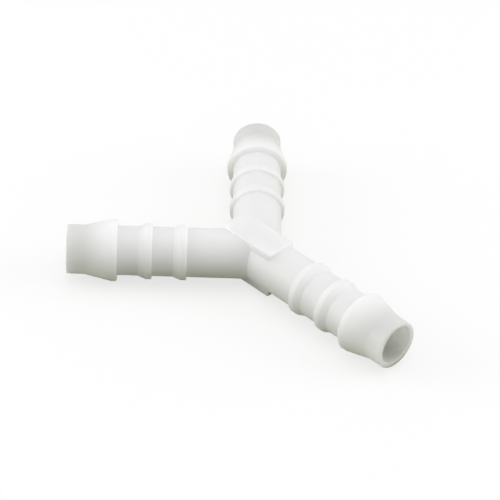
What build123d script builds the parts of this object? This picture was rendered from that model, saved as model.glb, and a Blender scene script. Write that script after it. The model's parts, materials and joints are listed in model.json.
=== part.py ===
from build123d import *
import os

# Barbed Y connector for flexible tubing, moulded in one piece.
#
# Two branches and a stem meet at a flat-topped block. The three arms are the same hose tail: a plain
# tube, low grip rings, one large barb and a short plain tip. A round passage runs right through, and is
# wider in the thin-walled tips.
# The connector lies flat on its three large barbs. +Z is up, the stem runs along -Y and the branches
# spread evenly about +Y. The origin is on the floor, at the centre of the plan.

os.makedirs("parts", exist_ok=True)

# Driving dimensions, in millimetres and degrees
branch_spread = 90.0  # between the axes of the two branches
bore_radius = 3.0
wall = 2.0

# Grip rings: steep back towards the block, flat crest, ramp towards the mouth
first_ring_back = 14.15  # from the junction of the axes to the back of the first ring
ring_pitch = 7.0
ring_count = 2
ring_height = 0.65
ring_crest = 1.25
ring_ramp = 1.5
ring_round = 0.2

# Large barb, one pitch beyond the last ring
barb_height = 1.25
barb_crest = 1.15
barb_ramp = 5.35
barb_round = 0.3

# Plain tip beyond the barb, with its thinner wall and its mouth
tip_length = 3.6
tip_wall = 1.0
tip_bore_depth = 7.25  # from the mouth
mouth_round = 0.12

# Block at the junction, with its long side along the stem
block_width = 6.7
block_front = 6.6  # from the junction towards the stem
block_back = 6.95  # from the junction into the crotch of the branches
block_proud = 0.25  # above and below the tubes
block_front_round = 0.3
block_back_round = 2.25
block_edge_round = 0.25

# Sizes that follow
tube_radius = bore_radius + wall
tip_bore_radius = tube_radius - tip_wall
ring_backs = [first_ring_back + ring_pitch * ring for ring in range(ring_count)]
barb_back = first_ring_back + ring_pitch * ring_count
arm_length = barb_back + barb_crest + barb_ramp + tip_length
block_half_height = tube_radius + block_proud
crotch_heading = 90.0  # along +Y, midway between the branches
arm_headings = [
    crotch_heading + 180,
    crotch_heading - branch_spread / 2,
    crotch_heading + branch_spread / 2,
]
arm_places = [Location((0, 0, 0), (0, 0, heading)) for heading in arm_headings]


def ring_corners(back, height, crest, ramp, corner_round):
    """Give a ring's four corners along the tube, each with its distance, radius and round."""
    crest_radius = tube_radius + height
    return [
        (back, tube_radius, 0),
        (back, crest_radius, corner_round),
        (back + crest, crest_radius, corner_round),
        (back + crest + ramp, tube_radius, 0),
    ]


# Half outline of one arm, from the junction to its mouth
arm_corners = [(0, 0, 0), (0, tube_radius, 0)]
for ring_back in ring_backs:
    arm_corners += ring_corners(ring_back, ring_height, ring_crest, ring_ramp, ring_round)
arm_corners += ring_corners(barb_back, barb_height, barb_crest, barb_ramp, barb_round)
arm_corners += [(arm_length, tube_radius, mouth_round), (arm_length, 0, 0)]

# One arm, solid, along +X
with BuildPart() as arm:
    with BuildSketch(Plane.XZ):
        with BuildLine():
            FilletPolyline(
                [(distance, radius) for distance, radius, corner_round in arm_corners],
                radius=[corner_round for distance, radius, corner_round in arm_corners],
                close=True,
            )
        make_face()
    revolve(axis=Axis.X)

# Junction block, centred on the height of the axes
with BuildPart() as block:
    with BuildSketch(Plane.XY):
        with Locations((0, -block_front)):
            Rectangle(block_width, block_front + block_back, align=(Align.CENTER, Align.MIN))
    extrude(amount=block_half_height, both=True)
    fillet(block.edges().filter_by(Axis.Z).group_by(Axis.Y)[0], block_front_round)
    fillet(block.edges().filter_by(Axis.Z).group_by(Axis.Y)[-1], block_back_round)
    fillet(block.faces().filter_by(Axis.Z).edges(), block_edge_round)

# Whole moulding about the junction, with the passage cut in from each mouth to the junction
with BuildPart() as moulding:
    add(block.part)
    with Locations(*arm_places):
        add(arm.part)
        with Locations(Location((arm_length, 0, 0), (0, 90, 0))):
            CounterBoreHole(
                radius=bore_radius,
                counter_bore_radius=tip_bore_radius,
                counter_bore_depth=tip_bore_depth,
                depth=arm_length,
            )
    bore_mouths = (
        moulding.edges()
        .filter_by(GeomType.CIRCLE)
        .filter_by(lambda edge: abs(edge.radius - tip_bore_radius) < mouth_round / 2)
        .filter_by(lambda edge: abs(edge.arc_center.length - arm_length) < mouth_round / 2)
    )
    fillet(bore_mouths, mouth_round)

# The moulding set down on the floor, with its plan box centred on the origin
plan = moulding.part.bounding_box()
with BuildPart() as connector_body:
    with Locations((-plan.center().X, -plan.center().Y, -plan.min.Z)):
        add(moulding.part)

connector_body.part.label = "connector_body"
export_step(connector_body.part, "parts/connector_body.step")
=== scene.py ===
import json
from math import cos, radians, sin

import bmesh
import bpy
from bpy.props import FloatProperty, FloatVectorProperty, PointerProperty
from mathutils import Matrix, Vector
from mathutils.geometry import intersect_line_line

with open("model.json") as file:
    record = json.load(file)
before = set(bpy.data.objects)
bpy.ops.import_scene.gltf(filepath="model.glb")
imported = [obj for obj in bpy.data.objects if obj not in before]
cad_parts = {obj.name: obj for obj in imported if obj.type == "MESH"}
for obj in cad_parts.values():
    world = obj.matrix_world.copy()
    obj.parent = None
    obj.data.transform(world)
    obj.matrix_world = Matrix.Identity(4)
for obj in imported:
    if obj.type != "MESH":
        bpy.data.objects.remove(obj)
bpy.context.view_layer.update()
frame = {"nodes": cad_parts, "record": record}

# Barbed Y connector for flexible tubing, moulded in one piece of white plastic.
#
# The moulding is the frame's own body. This add-on gives it its finish as moulded, and sets up a pale
# floor, soft studio lamps and the camera. Everything is in metres, with +Z up and the stem along -Y.

bl_info = {
    "name": "Tubing Y Connector",
    "version": (1, 0, 0),
    "blender": (4, 5, 0),
    "location": "View3D > Sidebar > Tubing",
    "description": "Finishes a barbed tubing Y connector and sets it on a studio stage",
    "category": "Object",
}

MILLIMETRE = 0.001

# The moulding, its material slot and its mounts, as the frame names them
BODY_NODE = "connector_body"
BODY_SLOT = "white_plastic"
STEM_MOUNT = "stem_tail"
BRANCH_MOUNT = "right_branch_tail"
MOUNTS = {row["name"]: row for row in frame["record"]["mounts"]}

WHITE = (1.0, 1.0, 1.0, 1.0)
SENSOR_WIDTH = 36.0  # of the camera, in millimetres
FLOOR_SIDES = 96  # of the polygon that stands for a round floor


def find_junction():
    """Give the point where the axes of the stem and a branch cross."""
    lines = []
    for name in (STEM_MOUNT, BRANCH_MOUNT):
        start = Vector(MOUNTS[name]["pos_m"])
        lines += [start, start + Vector(MOUNTS[name]["axis"])]
    on_stem, on_branch = intersect_line_line(*lines)
    return (on_stem + on_branch) / 2


JUNCTION = find_junction()


# Settings


class PlasticSettings(bpy.types.PropertyGroup):
    """Colour and finish of the moulded plastic."""

    colour: FloatVectorProperty(
        name="Colour",
        description="Colour of the plastic where it is thick",
        subtype="COLOR",
        size=3,
        min=0.0,
        max=1.0,
        default=(0.92, 0.918, 0.924),
    )
    refraction: FloatProperty(
        name="Refractive Index",
        description="How strongly the plastic bends light, which sets its gloss",
        min=1.0,
        default=1.49,
    )
    clouding: FloatProperty(
        name="Clouding",
        description="How much darker the plastic is in its faint clouds",
        subtype="FACTOR",
        min=0.0,
        max=1.0,
        default=0.03,
    )
    cloud_size: FloatProperty(
        name="Cloud Size",
        description="Width of a cloud in the plastic",
        subtype="DISTANCE",
        unit="LENGTH",
        default=5.0 * MILLIMETRE,
    )
    light_depth: FloatProperty(
        name="Light Depth",
        description="How far light spreads inside the translucent plastic",
        subtype="DISTANCE",
        unit="LENGTH",
        default=3.5 * MILLIMETRE,
    )
    tip_light_depth: FloatProperty(
        name="Tip Light Depth",
        description="How far light spreads inside the thin-walled tips",
        subtype="DISTANCE",
        unit="LENGTH",
        default=5.5 * MILLIMETRE,
    )
    tip_start: FloatProperty(
        name="Tip Start",
        description="From the junction to where the wall begins to thin",
        subtype="DISTANCE",
        unit="LENGTH",
        default=30.5 * MILLIMETRE,
    )
    tip_full: FloatProperty(
        name="Tip Full",
        description="From the junction to where the wall is at its thinnest",
        subtype="DISTANCE",
        unit="LENGTH",
        default=34.5 * MILLIMETRE,
    )
    roughness: FloatProperty(
        name="Roughness",
        description="Roughness of the satin surface",
        subtype="FACTOR",
        min=0.0,
        max=1.0,
        default=0.5,
    )
    satin_spread: FloatProperty(
        name="Satin Spread",
        description="Share by which the roughness falls and rises between the satin patches",
        subtype="FACTOR",
        min=0.0,
        max=1.0,
        default=0.15,
    )
    patch_size: FloatProperty(
        name="Patch Size",
        description="Width of a satin patch",
        subtype="DISTANCE",
        unit="LENGTH",
        default=1.5 * MILLIMETRE,
    )
    grain_size: FloatProperty(
        name="Grain Size",
        description="Width of a bump in the fine grain that the mould leaves",
        subtype="DISTANCE",
        unit="LENGTH",
        default=0.18 * MILLIMETRE,
    )
    grain_depth: FloatProperty(
        name="Grain Depth",
        description="Height of the fine grain that the mould leaves",
        subtype="DISTANCE",
        unit="LENGTH",
        default=0.006 * MILLIMETRE,
    )
    wave_size: FloatProperty(
        name="Wave Size",
        description="Width of a slight wave left where the plastic shrank as it cooled",
        subtype="DISTANCE",
        unit="LENGTH",
        default=2.5 * MILLIMETRE,
    )
    wave_depth: FloatProperty(
        name="Wave Depth",
        description="Height of the cooling waves",
        subtype="DISTANCE",
        unit="LENGTH",
        default=0.02 * MILLIMETRE,
    )
    parting_width: FloatProperty(
        name="Parting Line Width",
        description="Width of the faint line where the halves of the mould met",
        subtype="DISTANCE",
        unit="LENGTH",
        default=0.12 * MILLIMETRE,
    )
    parting_height: FloatProperty(
        name="Parting Line Height",
        description="How far the parting line stands up from the surface",
        subtype="DISTANCE",
        unit="LENGTH",
        default=0.01 * MILLIMETRE,
    )


class CameraSettings(bpy.types.PropertyGroup):
    """Where the camera stands and how it looks at the junction."""

    azimuth: FloatProperty(
        name="Azimuth",
        description="Heading of the view, from +Y towards +X",
        subtype="ANGLE",
        unit="ROTATION",
        default=radians(46.594),
    )
    elevation: FloatProperty(
        name="Elevation",
        description="How steeply the camera looks down",
        subtype="ANGLE",
        unit="ROTATION",
        default=radians(38.432),
    )
    roll: FloatProperty(
        name="Roll",
        description="Tilt of the camera about its own line of sight",
        subtype="ANGLE",
        unit="ROTATION",
        default=radians(2.732),
    )
    distance: FloatProperty(
        name="Distance",
        description="From the camera to the junction, along the line of sight",
        subtype="DISTANCE",
        unit="LENGTH",
        default=0.53847,
    )
    junction_right: FloatProperty(
        name="Junction Right",
        description="How far the junction stands to the right of the line of sight",
        subtype="DISTANCE",
        unit="LENGTH",
        default=1.434 * MILLIMETRE,
    )
    junction_below: FloatProperty(
        name="Junction Below",
        description="How far the junction stands below the line of sight",
        subtype="DISTANCE",
        unit="LENGTH",
        default=0.879 * MILLIMETRE,
    )
    focal_length: FloatProperty(
        name="Focal Length",
        description="Focal length in millimetres, on a sensor 36 mm wide",
        subtype="DISTANCE_CAMERA",
        unit="CAMERA",
        default=192.35,
    )


class StageSettings(bpy.types.PropertyGroup):
    """Floor, room light and studio lamps."""

    floor_colour: FloatVectorProperty(
        name="Floor Colour",
        description="Colour of the floor as the camera sees it",
        subtype="COLOR",
        size=3,
        min=0.0,
        max=1.0,
        default=(1.0, 1.0, 1.0),
    )
    floor_bounce: FloatVectorProperty(
        name="Floor Bounce",
        description="Colour of the light that the floor throws back under the connector",
        subtype="COLOR",
        size=3,
        min=0.0,
        max=1.0,
        default=(0.17, 0.185, 0.06),
    )
    floor_radius: FloatProperty(
        name="Floor Radius",
        description="From the middle of the floor to its edge",
        subtype="DISTANCE",
        unit="LENGTH",
        default=3.0,
    )
    shadow_share: FloatProperty(
        name="Shadow Share",
        description="How much of the floor as seen is lit by the lamps, and so takes the shadow",
        subtype="FACTOR",
        min=0.0,
        max=1.0,
        default=0.3,
    )
    room_light: FloatProperty(
        name="Room Light",
        description="Strength of the even light from all round",
        min=0.0,
        default=0.675,
    )
    lamp_distance: FloatProperty(
        name="Lamp Distance",
        description="From each lamp to the junction",
        subtype="DISTANCE",
        unit="LENGTH",
        default=0.6,
    )
    lamp_size: FloatProperty(
        name="Lamp Size",
        description="Side of each square lamp",
        subtype="DISTANCE",
        unit="LENGTH",
        default=0.4,
    )
    left_power: FloatProperty(
        name="Left Lamp",
        description="Power of the low lamp on the left of the picture",
        subtype="POWER",
        unit="POWER",
        min=0.0,
        default=1.47,
    )
    left_heading: FloatVectorProperty(
        name="Left Lamp Heading",
        description="Direction of the left lamp from the junction",
        subtype="DIRECTION",
        size=3,
        default=(-0.7, 0.7, 0.35),
    )
    right_power: FloatProperty(
        name="Right Lamp",
        description="Power of the low lamp on the right of the picture",
        subtype="POWER",
        unit="POWER",
        min=0.0,
        default=1.34,
    )
    right_heading: FloatVectorProperty(
        name="Right Lamp Heading",
        description="Direction of the right lamp from the junction",
        subtype="DIRECTION",
        size=3,
        default=(0.7, -0.7, 0.35),
    )
    overhead_power: FloatProperty(
        name="Overhead Lamp",
        description="Power of the lamp straight above",
        subtype="POWER",
        unit="POWER",
        min=0.0,
        default=0.35,
    )
    overhead_heading: FloatVectorProperty(
        name="Overhead Lamp Heading",
        description="Direction of the overhead lamp from the junction",
        subtype="DIRECTION",
        size=3,
        default=(0.0, 0.0, 1.0),
    )


# Node helpers


def add_node(tree, kind, label, **settings):
    """Add a node to a node tree, with its label and its own settings."""
    node = tree.nodes.new(kind)
    node.label = label
    for name, value in settings.items():
        setattr(node, name, value)
    return node


def new_node_tree(owner):
    """Turn nodes on for a material or world and clear what is there."""
    owner.use_nodes = True
    owner.node_tree.nodes.clear()
    return owner.node_tree


def add_noise(tree, label, place, feature_size, detail):
    """Add a noise whose features have the given size, in metres."""
    noise = add_node(tree, "ShaderNodeTexNoise", label)
    noise.inputs["Scale"].default_value = 1 / feature_size
    noise.inputs["Detail"].default_value = detail
    tree.links.new(place, noise.inputs["Vector"])
    return noise


def add_bump(tree, label, height, distance, below=None):
    """Add a bump of the given height in metres, over the bump below it."""
    bump = add_node(tree, "ShaderNodeBump", label)
    bump.inputs["Distance"].default_value = distance
    tree.links.new(height, bump.inputs["Height"])
    if below:
        tree.links.new(below.outputs["Normal"], bump.inputs["Normal"])
    return bump


def add_mix(tree, label, first, second):
    """Add a mix of two shaders, which is all of the first at a factor of 0."""
    mix = add_node(tree, "ShaderNodeMixShader", label)
    tree.links.new(first, mix.inputs[1])
    tree.links.new(second, mix.inputs[2])
    return mix


# Moulded plastic


def make_plastic(settings):
    """Make the translucent satin plastic, with its clouds, grain and parting line."""
    material = bpy.data.materials.new(BODY_SLOT)
    tree = new_node_tree(material)
    links = tree.links
    place = add_node(tree, "ShaderNodeTexCoord", "Place on the moulding").outputs["Object"]

    shader = add_node(tree, "ShaderNodeBsdfPrincipled", "Moulded plastic")
    shader.inputs["IOR"].default_value = settings.refraction
    shader.inputs["Subsurface Weight"].default_value = 1.0
    shader.inputs["Subsurface Radius"].default_value = (1.0, 1.0, 1.0)
    links.new(add_light_depth(tree, place, settings), shader.inputs["Subsurface Scale"])

    clouds = add_noise(tree, "Clouds", place, settings.cloud_size, detail=2.0)
    tint = add_node(tree, "ShaderNodeMix", "Clouded colour", data_type="RGBA")
    plain = Vector(settings.colour)
    tint.inputs["A"].default_value = (*plain, 1.0)
    tint.inputs["B"].default_value = (*(plain * (1 - settings.clouding)), 1.0)
    links.new(clouds.outputs["Fac"], tint.inputs["Factor"])
    links.new(tint.outputs["Result"], shader.inputs["Base Color"])

    patches = add_noise(tree, "Satin patches", place, settings.patch_size, detail=3.0)
    satin = add_node(tree, "ShaderNodeMapRange", "Satin roughness")
    satin.inputs["To Min"].default_value = settings.roughness * (1 - settings.satin_spread)
    satin.inputs["To Max"].default_value = settings.roughness * (1 + settings.satin_spread)
    links.new(patches.outputs["Fac"], satin.inputs["Value"])
    links.new(satin.outputs["Result"], shader.inputs["Roughness"])

    grain = add_noise(tree, "Mould grain", place, settings.grain_size, detail=2.0)
    grain_bump = add_bump(tree, "Grain bump", grain.outputs["Fac"], settings.grain_depth)
    waves = add_noise(tree, "Cooling waves", place, settings.wave_size, detail=1.0)
    wave_bump = add_bump(
        tree, "Wave bump", waves.outputs["Fac"], settings.wave_depth, below=grain_bump
    )
    parting = add_parting_line(tree, place, settings.parting_width)
    seam_bump = add_bump(
        tree, "Parting bump", parting, settings.parting_height, below=wave_bump
    )
    links.new(seam_bump.outputs["Normal"], shader.inputs["Normal"])

    output = add_node(tree, "ShaderNodeOutputMaterial", "Surface")
    links.new(shader.outputs["BSDF"], output.inputs["Surface"])
    return material


def add_light_depth(tree, place, settings):
    """Give how far light spreads, which is further in the thin-walled tips."""
    reach = add_node(
        tree, "ShaderNodeVectorMath", "Distance from the junction", operation="DISTANCE"
    )
    reach.inputs[1].default_value = JUNCTION
    tree.links.new(place, reach.inputs[0])
    depth = add_node(tree, "ShaderNodeMapRange", "Light depth", interpolation_type="SMOOTHSTEP")
    depth.inputs["From Min"].default_value = settings.tip_start
    depth.inputs["From Max"].default_value = settings.tip_full
    depth.inputs["To Min"].default_value = settings.light_depth
    depth.inputs["To Max"].default_value = settings.tip_light_depth
    tree.links.new(reach.outputs["Value"], depth.inputs["Value"])
    return depth.outputs["Result"]


def add_parting_line(tree, place, width):
    """Give 1 on the plane of the three axes, falling smoothly to 0 at half the width."""
    heights = add_node(tree, "ShaderNodeSeparateXYZ", "Height on the moulding")
    tree.links.new(place, heights.inputs["Vector"])
    away = add_node(
        tree, "ShaderNodeMath", "Signed distance from the parting plane", operation="SUBTRACT"
    )
    away.inputs[1].default_value = JUNCTION.z
    tree.links.new(heights.outputs["Z"], away.inputs[0])
    apart = add_node(tree, "ShaderNodeMath", "Distance from the parting plane", operation="ABSOLUTE")
    tree.links.new(away.outputs["Value"], apart.inputs[0])
    line = add_node(tree, "ShaderNodeMapRange", "Parting line", interpolation_type="SMOOTHSTEP")
    line.inputs["From Max"].default_value = width / 2
    line.inputs["To Min"].default_value = 1.0
    line.inputs["To Max"].default_value = 0.0
    tree.links.new(apart.outputs["Value"], line.inputs["Value"])
    return line.outputs["Result"]


# Stage


def add_seen_rays(tree):
    """Give 1 for rays that come from the camera, directly or by gloss or glass, and else 0."""
    path = add_node(tree, "ShaderNodeLightPath", "Kind of ray")
    total = path.outputs["Is Camera Ray"]
    for kind in ("Is Glossy Ray", "Is Transmission Ray"):
        larger = add_node(tree, "ShaderNodeMath", f"Or {kind.lower()}", operation="MAXIMUM")
        tree.links.new(total, larger.inputs[0])
        tree.links.new(path.outputs[kind], larger.inputs[1])
        total = larger.outputs["Value"]
    return total


def make_floor_material(settings):
    """Make the pale floor, which looks white, takes a faint shadow and throws little light back."""
    material = bpy.data.materials.new("studio_floor")
    tree = new_node_tree(material)
    white = add_node(tree, "ShaderNodeEmission", "White as seen")
    white.inputs["Color"].default_value = (*settings.floor_colour, 1.0)
    lit = add_node(tree, "ShaderNodeBsdfDiffuse", "Lit floor as seen")
    lit.inputs["Color"].default_value = (*settings.floor_colour, 1.0)
    seen = add_mix(tree, "Floor as seen", white.outputs["Emission"], lit.outputs["BSDF"])
    seen.inputs["Fac"].default_value = settings.shadow_share
    bounce = add_node(tree, "ShaderNodeBsdfDiffuse", "Light thrown back")
    bounce.inputs["Color"].default_value = (*settings.floor_bounce, 1.0)
    floor = add_mix(tree, "Floor", bounce.outputs["BSDF"], seen.outputs["Shader"])
    tree.links.new(add_seen_rays(tree), floor.inputs["Fac"])
    output = add_node(tree, "ShaderNodeOutputMaterial", "Surface")
    tree.links.new(floor.outputs["Shader"], output.inputs["Surface"])
    return material


def make_floor(settings):
    """Lay a wide disc under the connector."""
    mesh = bpy.data.meshes.new("floor")
    shape = bmesh.new()
    bmesh.ops.create_circle(
        shape, cap_ends=True, segments=FLOOR_SIDES, radius=settings.floor_radius
    )
    shape.to_mesh(mesh)
    shape.free()
    floor = bpy.data.objects.new("floor", mesh)
    bpy.context.scene.collection.objects.link(floor)
    mesh.materials.append(make_floor_material(settings))


def make_room(settings):
    """Light the scene evenly from all round, with plain white behind it as seen."""
    world = bpy.data.worlds.new("studio_room")
    bpy.context.scene.world = world
    tree = new_node_tree(world)
    soft = add_node(tree, "ShaderNodeBackground", "Room light")
    soft.inputs["Color"].default_value = WHITE
    soft.inputs["Strength"].default_value = settings.room_light
    white = add_node(tree, "ShaderNodeBackground", "White as seen")
    white.inputs["Color"].default_value = WHITE
    blend = add_mix(tree, "Room", soft.outputs["Background"], white.outputs["Background"])
    tree.links.new(add_seen_rays(tree), blend.inputs["Fac"])
    output = add_node(tree, "ShaderNodeOutputWorld", "World")
    tree.links.new(blend.outputs["Shader"], output.inputs["Surface"])


def add_soft_lamp(name, power, direction, settings):
    """Hang a square soft lamp in the given direction from the junction, facing it."""
    lamp = bpy.data.lights.new(name, "AREA")
    lamp.energy = power
    lamp.size = settings.lamp_size
    holder = bpy.data.objects.new(name, lamp)
    heading = Vector(direction).normalized()
    holder.location = JUNCTION + heading * settings.lamp_distance
    holder.rotation_euler = (-heading).to_track_quat("-Z", "Y").to_euler()
    bpy.context.scene.collection.objects.link(holder)


def place_camera(settings):
    """Stand the camera so that it sees the junction where the settings say."""
    azimuth, elevation = settings.azimuth, settings.elevation
    level_right = Vector((cos(azimuth), -sin(azimuth), 0))
    sight = Vector(
        (
            cos(elevation) * sin(azimuth),
            cos(elevation) * cos(azimuth),
            -sin(elevation),
        )
    )
    level_up = level_right.cross(sight)
    tilt = Matrix.Rotation(settings.roll, 3, -sight)
    right, up = tilt @ level_right, tilt @ level_up
    camera = bpy.data.cameras.new("studio_camera")
    camera.sensor_width = SENSOR_WIDTH
    camera.lens = settings.focal_length
    holder = bpy.data.objects.new("studio_camera", camera)
    place = (
        JUNCTION
        - right * settings.junction_right
        + up * settings.junction_below
        - sight * settings.distance
    )
    turn = Matrix((right, up, -sight)).transposed().to_4x4()
    holder.matrix_world = Matrix.Translation(place) @ turn
    bpy.context.scene.collection.objects.link(holder)
    bpy.context.scene.camera = holder


# Operators


class TUBING_OT_finish_connector(bpy.types.Operator):
    """Give the moulding its white plastic"""

    bl_idname = "tubing.finish_connector"
    bl_label = "Finish Connector"

    def execute(self, context):
        moulding = frame["nodes"][BODY_NODE]
        plastic = make_plastic(context.scene.tubing_plastic)
        for slot in moulding.material_slots:
            slot.material = plastic
        return {"FINISHED"}


class TUBING_OT_build_stage(bpy.types.Operator):
    """Lay the floor, light the room and hang the lamps"""

    bl_idname = "tubing.build_stage"
    bl_label = "Build Stage"

    def execute(self, context):
        settings = context.scene.tubing_stage
        context.scene.view_settings.view_transform = "Standard"
        make_floor(settings)
        make_room(settings)
        for name, power, direction in (
            ("left_lamp", settings.left_power, settings.left_heading),
            ("right_lamp", settings.right_power, settings.right_heading),
            ("overhead_lamp", settings.overhead_power, settings.overhead_heading),
        ):
            add_soft_lamp(name, power, direction, settings)
        return {"FINISHED"}


class TUBING_OT_place_camera(bpy.types.Operator):
    """Stand the camera in front of the connector"""

    bl_idname = "tubing.place_camera"
    bl_label = "Place Camera"

    def execute(self, context):
        place_camera(context.scene.tubing_camera)
        return {"FINISHED"}


class TUBING_PT_connector(bpy.types.Panel):
    """Lists the steps that build the connector's scene"""

    bl_label = "Tubing Y Connector"
    bl_idname = "TUBING_PT_connector"
    bl_space_type = "VIEW_3D"
    bl_region_type = "UI"
    bl_category = "Tubing"

    def draw(self, context):
        scene = context.scene
        for settings, operator in (
            (scene.tubing_plastic, TUBING_OT_finish_connector),
            (scene.tubing_stage, TUBING_OT_build_stage),
            (scene.tubing_camera, TUBING_OT_place_camera),
        ):
            box = self.layout.box()
            for name in settings.__annotations__:
                box.prop(settings, name)
            box.operator(operator.bl_idname)


CLASSES = (
    PlasticSettings,
    CameraSettings,
    StageSettings,
    TUBING_OT_finish_connector,
    TUBING_OT_build_stage,
    TUBING_OT_place_camera,
    TUBING_PT_connector,
)


def register():
    for item in CLASSES:
        bpy.utils.register_class(item)
    bpy.types.Scene.tubing_plastic = PointerProperty(type=PlasticSettings)
    bpy.types.Scene.tubing_camera = PointerProperty(type=CameraSettings)
    bpy.types.Scene.tubing_stage = PointerProperty(type=StageSettings)


def unregister():
    del bpy.types.Scene.tubing_stage
    del bpy.types.Scene.tubing_camera
    del bpy.types.Scene.tubing_plastic
    for item in reversed(CLASSES):
        bpy.utils.unregister_class(item)


def main():
    """Build the scene step by step."""
    register()
    bpy.ops.tubing.place_camera()
    bpy.ops.tubing.finish_connector()
    bpy.ops.tubing.build_stage()


if __name__ == "__main__":
    main()
